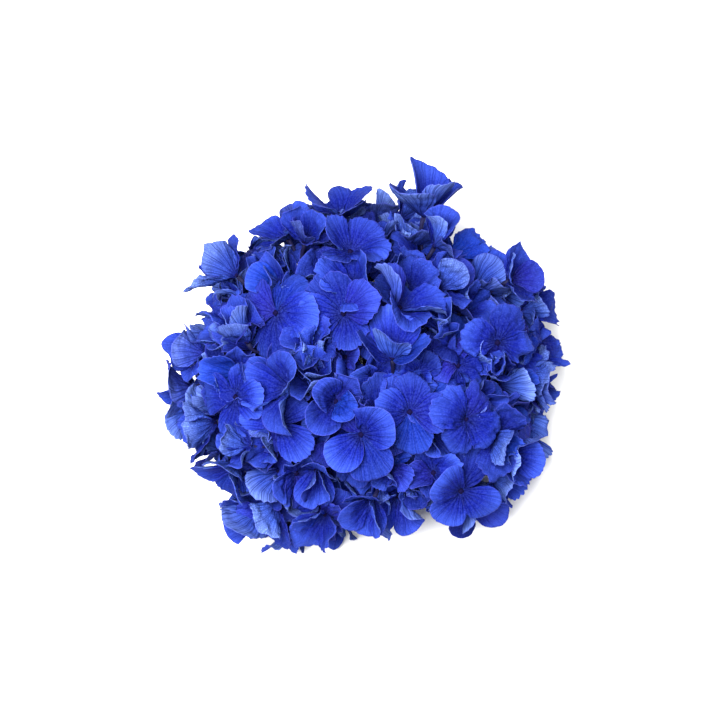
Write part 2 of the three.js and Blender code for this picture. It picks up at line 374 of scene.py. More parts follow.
def set_posture(rng, floret):
    """What the four sepals of a floret have in common."""
    habit = floret["habit"] or pick_habit(rng, floret)
    habit = SET_HABITS.get(floret["number"], habit)
    floret["posture"] = {key: rng.uniform(*ends) for key, ends in HABITS[habit].items()}
    floret["pointed"] = habit == "pointed"
    floret["serrated"] = rng.random() < SERRATED_SHARE
    smooth = floret["habit"] in ("open", "bowl")
    floret["crumpled"] = 0.1 if smooth else 0.1 + 0.8 * rng.random() ** 1.5
    floret["spread"] = rng.uniform(46, 60)


def sepal_genes(rng, floret, k):
    """The numbers that make one sepal its own."""
    rise = floret["posture"]["rise"] + rng.uniform(-4, 4)
    upper = k % 2  # two sepals lie over the other two
    if rng.random() < (0.1 if floret["habit"] else STRAY_SHARE):
        rise += rng.uniform(12, 36) if upper else -rng.uniform(8, 26)
    pointed = floret["pointed"] or rng.random() < POINTED_SHARE
    serrated = floret["serrated"]
    crumpled = floret["crumpled"] * rng.uniform(0.6, 1.3)
    flat = math.degrees(math.atan2(floret["cup"], floret["radius"]))
    smaller = SMALLER_SEPALS.get((floret["number"], k), 1)
    return {
        "length": floret["radius"] * rng.uniform(0.9, 1.16) * smaller,
        "spread": math.radians(floret["spread"] + rng.uniform(-4, 4)),
        "round": rng.uniform(2.2, 3.4),
        "blunt": rng.uniform(0.4, 0.58),
        "tip": rng.uniform(0.1, 0.22) if pointed else rng.uniform(0, 0.03),
        "teeth": rng.uniform(0.03, 0.06) if serrated else rng.uniform(0, 0.008),
        "tooth_count": rng.integers(7, 11),
        "ragged": rng.normal(0, 1, 60) * (0.012 if serrated else 0.005),
        "rise": math.radians(rise + flat + (6 if upper else -4)),
        "curl": math.radians(floret["posture"]["curl"] + rng.uniform(-12, 12)),
        "tip_curl": math.radians(rng.normal(-10, 34)),
        "roll": floret["posture"]["roll"] + rng.normal(0, 0.006),
        "roll_side": rng.normal(0, 0.018),
        "roll_out": rng.normal(0, 0.025),
        "keel": floret["posture"]["keel"] + rng.normal(0, 0.06),
        "keel_place": rng.normal(0, 1.2),
        "twist": math.radians(rng.normal(0, 12)),
        "ruffle": rng.uniform(0.1, 0.9) + 0.9 * crumpled,
        "ruffle_waves": rng.uniform(1.6, 4.2),
        "ruffle_phase": rng.uniform(0, 2 * math.pi),
        "pleat": rng.uniform(0.08, 0.24) + 0.34 * crumpled,
        "crumple": 0.1 + 0.8 * crumpled,
        "waves": rng.normal(0, 1, (8, 2)) * [0.6, 0.7],
        "wave_phase": rng.uniform(0, 2 * math.pi, 8),
        "pucker": 0.04 + 0.12 * crumpled,
        "pucker_waves": rng.normal(0, 1, (6, 2)) * 1.6,
        "pucker_phase": rng.uniform(0, 2 * math.pi, 6),
        "wander": rng.normal(0, 1, (4, 2)) * 0.16,
        "wander_phase": rng.uniform(0, 2 * math.pi, 4),
        "azimuth": math.radians(floret["spin"] + 45 + 90 * k + rng.normal(0, 6)),
        "lift": 1.5 * upper,
        "tone": rng.random(),
        # How far the sepal is coloured towards dark navy: a random tone, plus painted shade. The
        # lower two sepals get more, as painted shade under the upper two, and the inner florets
        # add their painted shade.
        "deep": (rng.uniform(0, 0.45) if upper else rng.uniform(0.27, 0.74)) + floret["shade"],
    }


def sepal_outline(g, grid):
    """How far the sepal reaches along each column, and that column's angle."""
    c = grid.c
    angle = g["spread"] * EDGE_COLUMNS * grid.spoke
    full = (1 - np.abs(angle / g["spread"]) ** g["round"]) ** g["blunt"]
    reach = g["length"] * full * (1 + g["tip"] * np.exp(-np.abs(angle) / TIP_WIDTH))
    tooth = np.abs((c * g["tooth_count"]) % 1 - TOOTH_LEAN)
    ragged = np.interp(c.ravel(), np.linspace(-1, 1, len(g["ragged"])), g["ragged"])
    reach = reach * (1 - g["teeth"] * 2 * tooth + ragged.reshape(c.shape))
    return angle, reach


def waves(along, across, numbers, phases):
    """A field of plane waves over the sepal, added up."""
    return sum(np.sin(p * along + q * across + phase) for (p, q), phase in zip(numbers, phases))


def vein_place(g, grid, along, across):
    """Across the sepal in units of -1 to 1, wandering as its veins do."""
    wander = waves(along, across, g["wander"], g["wander_phase"])
    return grid.spoke + 0.035 * wander * grid.t


def sepal_points(g, grid):
    """The sepal's middle surface on a grid in its floret's own frame, its vein places, and how
    far out each point is."""
    t = grid.t
    angle, reach = sepal_outline(g, grid)
    r = BASE_RADIUS + (reach - BASE_RADIUS) * t ** 0.9
    along, across = r * np.cos(angle), r * np.sin(angle)
    out = along / g["length"]

    steps = np.linspace(0, PROFILE_END, round(PROFILE_END * PROFILE_STEPS) + 1)
    tip_bend = g["tip_curl"] * np.clip(steps - TIP_BENDS_FROM, 0, None) ** 1.5 * 2
    slope = g["rise"] + g["curl"] * steps + tip_bend
    stride = g["length"] / PROFILE_STEPS
    run, climb = (
        np.concatenate([[0], np.cumsum((rate(slope[1:]) + rate(slope[:-1])) / 2)]) * stride
        for rate in (np.cos, np.sin))
    x, z, lean = (np.interp(out, steps, values) for values in (run, climb, slope))

    roll = g["roll"] + g["roll_out"] * out + g["roll_side"] * np.sign(across)
    roll = np.where(np.abs(roll) < FLATTEST_ROLL, FLATTEST_ROLL, roll)
    side = np.sin(roll * across) / roll
    bulge = (1 - np.cos(roll * across)) / roll
    keel = np.sqrt((across - g["keel_place"]) ** 2 + 1.6) - 1.3
    bulge = bulge + g["keel"] * keel * np.minimum(1, 2 * t)

    # Ruffles along the edge, large and small creases, and a furrow along each vein.
    ruffle = np.sin(g["ruffle_waves"] * math.pi * grid.c + g["ruffle_phase"])
    bulge = bulge + g["ruffle"] * t ** 2.5 * ruffle
    crease = waves(along, across, g["waves"], g["wave_phase"])
    bulge = bulge + g["crumple"] * np.minimum(1, 1.6 * t) * 0.35 * crease
    bulge = bulge + g["pucker"] * t * waves(along, across, g["pucker_waves"], g["pucker_phase"])
    vein = vein_place(g, grid, along, across)
    furrow = 1 - np.abs(((vein * VEINS / 2) % 1) - 0.5) * 2
    bulge = bulge - g["pleat"] * furrow ** 2 * np.sin(math.pi * np.minimum(0.93, t) ** 0.7)

    twist = g["twist"] * out
    cos, sin = np.cos(twist), np.sin(twist)
    side, bulge = side * cos - bulge * sin, side * sin + bulge * cos
    flat_x = x - np.sin(lean) * bulge
    local_z = z + np.cos(lean) * bulge + g["lift"] * np.minimum(1, 1.5 * t)
    cos, sin = math.cos(g["azimuth"]), math.sin(g["azimuth"])
    points = np.stack([flat_x * cos - side * sin, flat_x * sin + side * cos, local_z], -1)
    return points, vein, r / g["length"]


def frame_facing(facing):
    """The turn that takes +Z to facing by the shortest way."""
    cross = np.array([-facing[1], facing[0], 0.0])
    c = facing[2]
    k = np.array([[0, 0, cross[1]], [0, 0, -cross[0]], [-cross[1], cross[0], 0]])
    return np.eye(3) + k + k @ k / (1 + c)


# ---------------------------------------------------------------- meshes

def grid_normals(points):
    along = np.gradient(points, axis=0)
    across = np.gradient(points, axis=1)
    normal = np.cross(along, across)
    return normal / np.maximum(np.linalg.norm(normal, axis=-1, keepdims=True), 1e-12)


def shell_faces(rows, columns):
    """Quads of a closed thin shell: its front, its back and the rim that joins them."""
    front = np.arange(rows * columns).reshape(rows, columns)
    back = front + rows * columns
    a, b, c, d = front[:-1, :-1], front[1:, :-1], front[1:, 1:], front[:-1, 1:]
    quads = [np.stack([a, b, c, d], -1).reshape(-1, 4)]
    a, b, c, d = back[:-1, :-1], back[:-1, 1:], back[1:, 1:], back[1:, :-1]
    quads.append(np.stack([a, b, c, d], -1).reshape(-1, 4))
    ring = np.concatenate([front[0, :], front[1:, -1], front[-1, -2::-1], front[-2:0:-1, 0]])
    after = np.roll(ring, -1)
    offset = rows * columns
    quads.append(np.stack([ring, after, after + offset, ring + offset], -1))
    return np.concatenate(quads)


def make_mesh(name, points, quads, attributes):
    """A mesh object from points in millimetres, quads, and values for each point."""
    mesh = bpy.data.meshes.new(name)
    mesh.vertices.add(len(points))
    mesh.vertices.foreach_set("co", (np.asarray(points) * MM).astype(np.float32).ravel())
    mesh.loops.add(quads.size)
    mesh.loops.foreach_set("vertex_index", quads.astype(np.int32).ravel())
    mesh.polygons.add(len(quads))
    mesh.polygons.foreach_set("loop_start", np.arange(0, quads.size, 4, dtype=np.int32))
    mesh.polygons.foreach_set("use_smooth", np.ones(len(quads), bool))
    for key, values in attributes.items():
        layer = mesh.attributes.new(key, "FLOAT", "POINT")
        layer.data.foreach_set("value", np.asarray(values, np.float32))
    mesh.update(calc_edges=True)
    mesh.validate()
    piece = bpy.data.objects.new(name, mesh)
    bpy.context.collection.objects.link(piece)
    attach(piece, "root")
    return piece


def tube_faces(rings, sides):
    """Quads around a stack of rings of points, with both ends capped."""
    ids = np.arange(rings * sides).reshape(rings, sides)
    after = np.roll(ids, -1, axis=1)
    quads = [np.stack([ids[:-1], after[:-1], after[1:], ids[1:]], -1).reshape(-1, 4)]
    for end in (ids[0][::-1], ids[-1]):
        for i in range(1, sides - 2, 2):
            quads.append(np.array([[end[0], end[i], end[i + 1], end[i + 2]]]))
    return np.concatenate(quads)


def round_button():
    """The closed bud in a floret's middle: a small four-lobed bead, as quads."""
    rings, sides = 7, 16
    up = np.linspace(-0.5, 0.5, rings)[:, None] * math.pi * 0.98
    turn = np.linspace(0, 2 * math.pi, sides, endpoint=False)[None, :]
    lobe = 1 + 0.13 * np.cos(4 * turn)
    r = BUTTON_RADIUS * np.cos(up) * lobe
    points = np.stack([r * np.cos(turn), r * np.sin(turn), np.sin(up) + 0 * turn], -1)
    return points.reshape(-1, 3) + [0, 0, BUTTON_HEIGHT], tube_faces(rings, sides)


def tube_mesh(path, radii, sides, rough=0.0, phase=0.0):
    """A closed round tube along a list of points, as quads with its ends capped."""
    path = np.asarray(path, float)
    radii = np.broadcast_to(radii, len(path))
    tangent = np.gradient(path, axis=0)
    tangent /= np.linalg.norm(tangent, axis=1, keepdims=True)
    first = np.array([1.0, 0, 0]) if abs(tangent[0][0]) < 0.8 else np.array([0, 1.0, 0])
    normals = []
    last = first
    for t in tangent:
        last = unit(last - t * (last @ t))
        normals.append(last)
    n = np.array(normals)
    b = np.cross(tangent, n)
    turn = np.linspace(0, 2 * math.pi, sides, endpoint=False)
    ribs = 1 + rough * np.sin(5 * turn[None, :] + phase + 0.35 * np.arange(len(path))[:, None])
    ring = radii[:, None] * ribs
    points = (path[:, None, :] + (ring * np.cos(turn))[..., None] * n[:, None, :]
              + (ring * np.sin(turn))[..., None] * b[:, None, :])
    return points.reshape(-1, 3), tube_faces(len(path), sides)


def join_parts(parts):
    """Several (points, quads, attributes) as one."""
    points, quads, values, start = [], [], {}, 0
    for p, q, attributes in parts:
        points.append(p)
        quads.append(q + start)
        start += len(p)
        for key, value in attributes.items():
            values.setdefault(key, []).append(np.broadcast_to(value, len(p)))
    joined = {key: np.concatenate(several) for key, several in values.items()}
    return np.concatenate(points), np.concatenate(quads), joined


# ---------------------------------------------------------------- florets

LOWEST_PETAL = 0.35
BUTTON_RADIUS = 1.25
BUTTON_HEIGHT = 0.7  # of its middle, above the floret's
SEPAL_GAP = 0.32  # between the middles of two sepals that lie on each other
DEEPEST_DIP = 2.6  # an upper sepal that is further through a lower one stays there
SQUARELY_OVER = 0.8  # how much of the way to the lower sepal has to be straight out of it
LAY_ROUNDS = 3
LAY_OVERSHOOT = 1.3  # makes up for what the smoothing takes
NEIGHBOURS = 40  # florets whose middles are nearer than this can meet
DEEPEST_CROSSING = 6  # a tip that is further through stays there
SEPAL_VALUES = ["spoke", "reach", "edge", "back", "tone", "deep", "crumple", "bead"]


def sepal_shell(g, grid, points, vein, far):
    """A sepal's closed thin shell, with the values that its material reads."""
    normal = grid_normals(points)
    thin = SEPAL_HALF_THICKNESS * (1.1 - 0.55 * grid.t ** 2)[..., None]
    front = points + normal * thin
    back = points - normal * thin
    count = grid.rows * grid.columns
    edge = np.broadcast_to(grid.t, (grid.rows, grid.columns)).ravel()
    attributes = {
        "spoke": np.tile(vein.ravel(), 2),
        "reach": np.tile(far.ravel(), 2),
        "edge": np.tile(edge, 2),
        "back": np.repeat([0.0, 1.0], count),
        "tone": g["tone"],
        "deep": g["deep"],
        "crumple": g["crumple"],
        "bead": 0.0,
    }
    both = np.concatenate([front.reshape(-1, 3), back.reshape(-1, 3)])
    return both, shell_faces(grid.rows, grid.columns), attributes


def smoothed(field, rounds):
    """A grid of moves, blurred a little along both ways."""
    for _ in range(rounds):
        for axis in (0, 1):
            here = np.arange(field.shape[axis])
            ahead = field.take(np.minimum(here + 1, here[-1]), axis)
            behind = field.take(np.maximum(here - 1, 0), axis)
            field = 0.5 * field + 0.25 * (ahead + behind)
    return field


def sheet_tree(sheets):
    """What finds the nearest place on any of these sheets of points, or where a ray meets one."""
    corners, faces, start = [], [], 0
    for sheet in sheets:
        rows, columns = sheet.shape[:2]
        corners += sheet.reshape(-1, 3).tolist()
        faces += (shell_faces(rows, columns)[:(rows - 1) * (columns - 1)] + start).tolist()
        start += rows * columns
    return BVHTree.FromPolygons(corners, faces)


def lay_over(upper, tree):
    """Lifts an upper sepal's points off the lower sepals wherever it dips into them."""
    for _ in range(LAY_ROUNDS):
        move = np.zeros_like(upper)
        moves = move.reshape(-1, 3)
        for index, point in enumerate(upper.reshape(-1, 3)):
            near, normal, _, away = tree.find_nearest(point.tolist(), DEEPEST_DIP)
            if near is None:
                continue
            normal = np.array(normal)
            up = (point - near) @ normal
            if up < SEPAL_GAP and abs(up) > SQUARELY_OVER * away:
                moves[index] = (SEPAL_GAP - up) * normal
        if not move.any():
            break
        upper = upper + LAY_OVERSHOOT * smoothed(move, 2)
    return upper


def tucked(sheet, tree):
    """Where a sepal runs through another floret's, its far part is laid against the side that it
    comes from."""
    rows, columns = sheet.shape[:2]
    move = np.zeros_like(sheet)
    for c in range(columns):
        line = sheet[:, c]
        steps = np.diff(line, axis=0)
        for r in range(rows // 3, rows - 1):
            hit, normal, _, _ = tree.ray_cast(
                line[r].tolist(), steps[r].tolist(), float(np.linalg.norm(steps[r])))
            if hit is None:
                continue
            side = -np.sign(steps[r] @ normal) * np.array(normal)
            height = (line[r + 1:] - hit) @ side
            if height.min() > -DEEPEST_CROSSING:
                move[r + 1:, c] = np.clip(SEPAL_GAP - height, 0, None)[:, None] * side
            break
    return sheet + smoothed(move, 1)


def lay_sheets(floret):
    """The middle surfaces of a floret's sepals as they have grown."""
    floret["sheets"], floret["places"] = [], []
    for g, shift, sepal_turn in zip(floret["genes"], floret["shifts"], floret["sepal_turns"]):
        local, vein, far = sepal_points(g, floret["grid"])
        shifted = local + spread_shift(shift, floret["grid"])
        floret["sheets"].append(shifted @ sepal_turn.T + floret["centre"])
        floret["places"].append((vein, far))
    if floret["grid"] is FINE:
        lower = sheet_tree(floret["sheets"][0::2])
        for k in (1, 3):
            floret["sheets"][k] = lay_over(floret["sheets"][k], lower)


def tuck_tips(florets):
    """Lays the tips that run through other florets' sepals against them."""
    centres = np.array([floret["centre"] for floret in florets])
    for floret in florets:
        away = np.linalg.norm(centres - floret["centre"], axis=1)
        near = [other for other, gap in zip(florets, away) if 0 < gap < NEIGHBOURS]
        tree = sheet_tree([sheet[::2, ::2] for other in near for sheet in other["sheets"]])
        floret["sheets"] = [tucked(sheet, tree) for sheet in floret["sheets"]]


def make_floret(floret, material):
    """One floret as a piece: its four sepals and its button."""
    parts = []
    for g, sheet, (vein, far) in zip(floret["genes"], floret["sheets"], floret["places"]):
        sheet[..., 2] = np.maximum(sheet[..., 2], LOWEST_PETAL)
        parts.append(sepal_shell(g, floret["grid"], sheet, vein, far))
    points, quads = round_button()
    points = points @ frame_facing(floret["facing"]).T + floret["centre"]
    plain = dict.fromkeys(SEPAL_VALUES, 0.0)
    parts.append((points, quads, {**plain, "bead": 1.0}))
    points, quads, attributes = join_parts(parts)
    piece = make_mesh(f"floret_{floret['number']:03d}", points, quads, attributes)
    piece.data.materials.append(material)
    return piece


def spread_shift(shift, grid):
    """A coarse grid of moves, smoothly spread over a finer one."""
    rows = spline_weights(COARSE.rows, grid.t.ravel())
    columns = spline_weights(COARSE.columns, (grid.spoke.ravel() + 1) / 2)
    return np.einsum("ra,cb,abk->rck", rows, columns, shift)


def spline_weights(few, place):
    """Weights that carry few evenly spaced values to places from 0 to 1, by a cubic."""
    place = place * (few - 1)
    left = np.clip(place.astype(int), 0, few - 2)
    f = place - left
    weights = np.zeros((len(place), few))
    parts = [
        -0.5 * f ** 3 + f ** 2 - 0.5 * f,
        1.5 * f ** 3 - 2.5 * f ** 2 + 1,
        -1.5 * f ** 3 + 2 * f ** 2 + 0.5 * f,
        0.5 * f ** 3 - 0.5 * f ** 2,
    ]
    for k, part in enumerate(parts):
        np.add.at(weights, (np.arange(len(place)), np.clip(left + k - 1, 0, few - 1)), part)
    return weights


# ---------------------------------------------------------------- stalks

UP = np.array([0.0, 0.0, 1.0])
STEM_FOOT = 3  # above the floor
STEM_RADIUS = 3.3
HUB_KNOB = 5.0
BRANCH_RADIUS = 1.75
BRANCH_KNOB = 2.6
STALK_STEP = 4.0  # how far from a branch's end its stalks start
STALK_RADII = (1.1, 0.85)
FORK_KNOB = 1.5
PEDICEL_RADIUS = 0.55
LOWEST_STALK = 0.1


def curved(start, end, leave, arrive, steps, sag=0.35):
    """A smooth path from start to end that leaves and arrives along the given directions."""
    span = np.linalg.norm(end - start) * sag
    t = np.linspace(0, 1, steps)[:, None]
    b, c = start + unit(leave) * span, end - unit(arrive) * span
    return ((1 - t) ** 3 * start + 3 * t * (1 - t) ** 2 * b + 3 * t ** 2 * (1 - t) * c
            + t ** 3 * end)


def knob_mesh(centre, radius):
    """The swollen node where stalks meet."""
    rings, sides = 9, 14
    up = np.linspace(-0.5, 0.5, rings) * math.pi * 0.97
    path = centre + np.outer(np.sin(up), [0, 0, radius])
    return tube_mesh(path, radius * np.cos(up), sides, 0.05, centre[0])


def branch_ends(hub):
    """Each branch's direction and outer end: one straight up and six around."""
    around = [direction((i + 0.5) * 360 / SIDE_BRANCHES, SIDE_BRANCH_POLAR)
              for i in range(SIDE_BRANCHES)]
    return [(along, hub + along * BRANCH_LENGTH) for along in (UP, *around)]


def make_stalk_piece(name, parts, node, material):
    """Tubes and knobs as one piece, which shows in place of a node of the CAD model."""
    points, quads, _ = join_parts([(points, quads, {}) for points, quads in parts])
    points[:, 2] = np.maximum(points[:, 2], LOWEST_STALK)
    piece = make_mesh(name, points, quads, {})
    piece.data.materials.append(material)
    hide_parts(node)


def make_stalks(cymes, material):
    """The stem, the branches and each cyme's stalks, as one piece for each CAD node."""
    base = stem_axis()
    hub = base + HUB
    rng = np.random.default_rng(SEED + 1)
    path = curved(base + STEM_FOOT * UP, hub, UP, UP, 24)
    widths = STEM_RADIUS + 0.25 * np.sin(np.linspace(0, 7, 24))
    stem = [tube_mesh(path, widths, 28, 0.035), knob_mesh(hub, HUB_KNOB)]
    make_stalk_piece("stem_detail", stem, "stem", material)
    ends = branch_ends(hub)
    for k, (along, end) in enumerate(ends):
        bow = unit(along + rng.normal(0, 0.12, 3))
        path = curved(hub + along * 3, end, bow, along, 22)
        widths = BRANCH_RADIUS + 0.5 * np.abs(np.linspace(-1, 1, 22)) ** 3
        parts = [tube_mesh(path, widths, 20, 0.05, k), knob_mesh(end, BRANCH_KNOB)]
        make_stalk_piece(f"branch_detail_{k + 1}", parts, f"branch_{k + 1}", material)
    for k, cyme in enumerate(cymes):
        middle = np.mean([floret["centre"] for floret in cyme], axis=0)
        away = unit(middle - hub)
        fork = middle - away * FORK_DEPTH
        end = min((e for _, e in ends), key=lambda e: np.linalg.norm(e - fork))
        out = unit(fork - end)
        path = curved(end + out * STALK_STEP, fork, out, away, 14)
        widths = np.linspace(*STALK_RADII, 14)
        parts = [tube_mesh(path, widths, 12, 0.06, k), knob_mesh(fork, FORK_KNOB)]
        for floret in cyme:
            facing = floret["facing"]
            top = floret["centre"] - facing * 0.35
            path = curved(fork, top, away, facing, 16, 0.4)
            widths = PEDICEL_RADIUS + 0.55 * np.linspace(0, 1, 16) ** 6
            parts.append(tube_mesh(path, widths, 10, 0.05, floret["number"]))
        make_stalk_piece(f"cyme_stalks_{k + 1:02d}", parts, f"cyme_{k + 1:02d}", material)


# ---------------------------------------------------------------- materials

def node(tree, kind, operation=None, **sockets):
    """A shader node with its sockets set, or linked where the value is another socket. The
    sockets go by name, or as n0, n1 and so on by number."""
    made = tree.nodes.new(kind)
    if operation:
        made.operation = operation
    for key, value in sockets.items():
        numbered = key[0] == "n" and key[1:].isdigit()
        socket = made.inputs[int(key[1:]) if numbered else key]
        if isinstance(value, bpy.types.NodeSocket):
            tree.links.new(value, socket)
        else:
            socket.default_value = value
    return made


def math_node(tree, operation, *values):
    made = node(tree, "ShaderNodeMath", operation, **{f"n{i}": v for i, v in enumerate(values)})
    return made.outputs[0]


def remap(tree, value, low, high, to_low=0.0, to_high=1.0):
    """value eased from one range to another, and held at its ends."""
    made = node(tree, "ShaderNodeMapRange", n0=value, n1=low, n2=high, n3=to_low, n4=to_high)
    made.interpolation_type = "SMOOTHSTEP"
    return made.outputs[0]


def mixed(tree, factor, a, b):
    """Colour a turning to colour b as factor goes from 0 to 1."""
    made = tree.nodes.new("ShaderNodeMix")
    made.data_type = "RGBA"
    for index, value in ((0, factor), (6, a), (7, b)):
        if isinstance(value, bpy.types.NodeSocket):
            tree.links.new(value, made.inputs[index])
        else:
            made.inputs[index].default_value = value
    return made.outputs[2]


def srgb(r, g, b):
    """A colour given as 0 to 255 in sRGB, as the linear values that a shader takes."""
    def linear(v):
        v /= 255
        return v / 12.92 if v <= 0.04045 else ((v + 0.055) / 1.055) ** 2.4
    return (linear(r), linear(g), linear(b), 1)


def attribute(tree, name):
    made = tree.nodes.new("ShaderNodeAttribute")
    made.attribute_name = name
    return made.outputs["Fac"]


def noise(tree, place, scale, detail=3.0, roughness=0.55):
    made = node(tree, "ShaderNodeTexNoise", Vector=place, Scale=scale, Detail=detail,
                Roughness=roughness)
    return made.outputs["Fac"]


def vein_lines(tree, spoke, reach, wobble, count, width, starts):
    """Lines that fan out from a sepal's base, count of them, faint before they start."""
    place = math_node(tree, "MULTIPLY_ADD", spoke, count / 2, wobble)
    within = math_node(tree, "FRACT", place)
    off = math_node(tree, "ABSOLUTE", math_node(tree, "SUBTRACT", within, 0.5))
    spread = math_node(tree, "MULTIPLY", off, math_node(tree, "MULTIPLY", reach, 36.0 / count))
    line = remap(tree, spread, 0.0, width, 1.0, 0.0)
    return math_node(tree, "MULTIPLY", line, remap(tree, reach, starts, starts + 0.2))


def petal_material():
    material = bpy.data.materials.new("petal")
    material.use_nodes = True
    tree = material.node_tree
    surface = tree.nodes["Principled BSDF"]
    place = tree.nodes.new("ShaderNodeTexCoord").outputs["Object"]
    values = [attribute(tree, name) for name in SEPAL_VALUES]
    spoke, reach, edge, back, tone, deep, crumple, bead = values

    wander = noise(tree, place, 160.0, 2.0)
    wobble = math_node(tree, "MULTIPLY_ADD", wander, 0.5, -0.25)
    main = vein_lines(tree, spoke, reach, wobble, VEINS, 0.34, 0.03)
    branches = vein_lines(tree, spoke, reach, wobble, 15, 0.26, 0.3)
    twigs = vein_lines(tree, spoke, reach, math_node(tree, "MULTIPLY", wobble, 1.8), 31, 0.2, 0.5)
    # A fine net of dark lines, stronger on crumpled sepals: partly veinlets, partly painted shade
    # in the fine creases.
    net = tree.nodes.new("ShaderNodeTexVoronoi")
    net.feature = "DISTANCE_TO_EDGE"
    tree.links.new(place, net.inputs["Vector"])
    net.inputs["Scale"].default_value = 980.0
    creased = remap(tree, crumple, 0.1, 0.8, 0.15, 0.7)
    vein_net_and_crease_shade = remap(tree, net.outputs["Distance"], 0.02, 0.16, 1.0, 0.0)
    vein_net_and_crease_shade = math_node(tree, "MULTIPLY", vein_net_and_crease_shade, creased)
    fine = math_node(tree, "MAXIMUM", math_node(tree, "MULTIPLY", twigs, 0.5), vein_net_and_crease_shade)
    veins = math_node(tree, "MAXIMUM", main, math_node(tree, "MULTIPLY", branches, 0.75))
    veins = math_node(tree, "MAXIMUM", veins, fine)

    # Each side grows darker towards the sepal's base: partly the sepal's own colour, partly
    # painted shade in the floret's middle and beneath it.
    front = mixed(tree, remap(tree, reach, 0.04, 0.55), srgb(4, 4, 46), srgb(9, 21, 119))
    front = mixed(tree, remap(tree, reach, 0.45, 1.0), front, srgb(51, 75, 180))
    rear = mixed(tree, remap(tree, reach, 0.0, 0.6), srgb(15, 21, 104), srgb(61, 89, 188))
    rear = mixed(tree, remap(tree, reach, 0.5, 1.0), rear, srgb(112, 140, 222))
    colour = mixed(tree, back, front, rear)
    colour = mixed(tree, remap(tree, tone, 0.25, 0.0, 0.0, 0.5), colour, srgb(38, 31, 132))
    colour = mixed(tree, remap(tree, tone, 0.82, 1.0, 0.0, 0.45), colour, srgb(16, 62, 172))
    # Towards dark navy by the sepal's random tone and its painted shade (lower sepals, inner
    # florets).
    colour = mixed(tree, deep, colour, srgb(3, 7, 74))
    mottle = remap(tree, noise(tree, place, 90.0, 4.0, 0.6), 0.35, 0.7)
    colour = mixed(tree, math_node(tree, "MULTIPLY", mottle, 0.35), colour, srgb(6, 14, 98))
    grain = remap(tree, noise(tree, place, 1400.0, 2.0), 0.3, 0.7, 0.0, 0.12)
    colour = mixed(tree, grain, colour, srgb(80, 100, 200))
    depth = remap(tree, back, 0.0, 1.0, 0.4, 0.74)
    # Darker along the veins and the fine net, whose crease lines are partly painted shade.
    colour = mixed(tree, math_node(tree, "MULTIPLY", veins, depth), colour, srgb(4, 5, 56))
    rim = remap(tree, edge, 0.965, 0.998, 0.0, 0.3)
    colour = mixed(tree, rim, colour, srgb(70, 70, 168))
    colour = mixed(tree, bead, colour, srgb(13, 10, 42))
    tree.links.new(colour, surface.inputs["Base Color"])
    relief = math_node(tree, "MULTIPLY_ADD", veins, -0.7, noise(tree, place, 700.0, 3.0, 0.6))
    bump = node(tree, "ShaderNodeBump", Strength=0.8, Distance=0.00045, Height=relief)
    tree.links.new(bump.outputs["Normal"], surface.inputs["Normal"])
    surface.inputs["Roughness"].default_value = 0.6
    surface.inputs["Specular IOR Level"].default_value = 0.012
    return material


def stalk_material():
    material = bpy.data.materials.new("stalk")
    material.use_nodes = True
    tree = material.node_tree
    surface = tree.nodes["Principled BSDF"]
    place = tree.nodes.new("ShaderNodeTexCoord").outputs["Object"]
    blotch = remap(tree, noise(tree, place, 140.0, 4.0, 0.6), 0.35, 0.65)
    # The stalks are coloured very dark, partly their own colour and partly painted shade, so that
    # they read dark in the gaps between the florets.
    colour = mixed(tree, blotch, srgb(6, 7, 38), srgb(17, 15, 54))
    fleck = remap(tree, noise(tree, place, 900.0, 2.0), 0.55, 0.7, 0.0, 0.5)
    colour = mixed(tree, fleck, colour, srgb(32, 30, 78))
    tree.links.new(colour, surface.inputs["Base Color"])
    surface.inputs["Roughness"].default_value = 0.72
    surface.inputs["Specular IOR Level"].default_value = 0.15
    return material


# ---------------------------------------------------------------- the head

GROWTH_STEPS = 72
GROWN_AFTER = 0.75  # of the steps; in the others the florets only settle
BUD_SIZE = 0.3  # how large the florets are, of their full size, when they start to press
SEPAL_CLEARANCE = 2.4  # how far apart the crowding keeps sepals of different florets
SISTER_REACH = 3.2  # sepals of one floret nearer than this are kept in their order
SISTER_STEP = 1.3  # and this far apart
PUSH = 0.45  # how much of what is lacking each of two points makes up in a step
SISTER_PUSH = 0.4
CROWDED_MIDDLE = 6.5  # nearer than this to their floret's middle they are left alone
FLOOR_CLEARANCE = 1.0
SEPAL_STIFFNESS = 0.26
HINGE_STIFFNESS = 0.35  # how strongly a sepal keeps its own angle, against how it is pushed
FLORET_HOLD = 0.05  # how strongly a stalk holds its floret in place
NOTABLE_HINGE = 3.0  # how much more strongly a notable floret keeps its sepals' angles
NOTABLE_HOLD = 2.5  # and its place


def close_pairs(points, reach):
    """Every pair of points nearer than reach, found in a grid of cells."""
    cell = np.floor((points - points.min(0)) / reach).astype(np.int64) + 1
    span = cell.max(0) + 2
    key = (cell[:, 0] * span[1] + cell[:, 1]) * span[2] + cell[:, 2]
    order = np.argsort(key, kind="stable")
    key = key[order]
    found = []
    for dx, dy in ((0, 0), (0, 1), (1, -1), (1, 0), (1, 1)):
        shift = (dx * span[1] + dy) * span[2]
        low = np.searchsorted(key, key + shift - 1, "left")
        high = np.searchsorted(key, key + shift + 1, "right")
        if dx == dy == 0:
            low = np.maximum(low, np.arange(len(key)) + 1)
        count = np.maximum(high - low, 0)
        first = np.repeat(np.arange(len(key)), count)
        rank = np.arange(count.sum()) - np.repeat(np.cumsum(count) - count, count)
        second = np.repeat(low, count) + rank
        found.append(np.stack([order[first], order[second]]))
    i, j = np.concatenate(found, axis=1)
    near = ((points[i] - points[j]) ** 2).sum(1) < reach * reach
    return i[near], j[near]


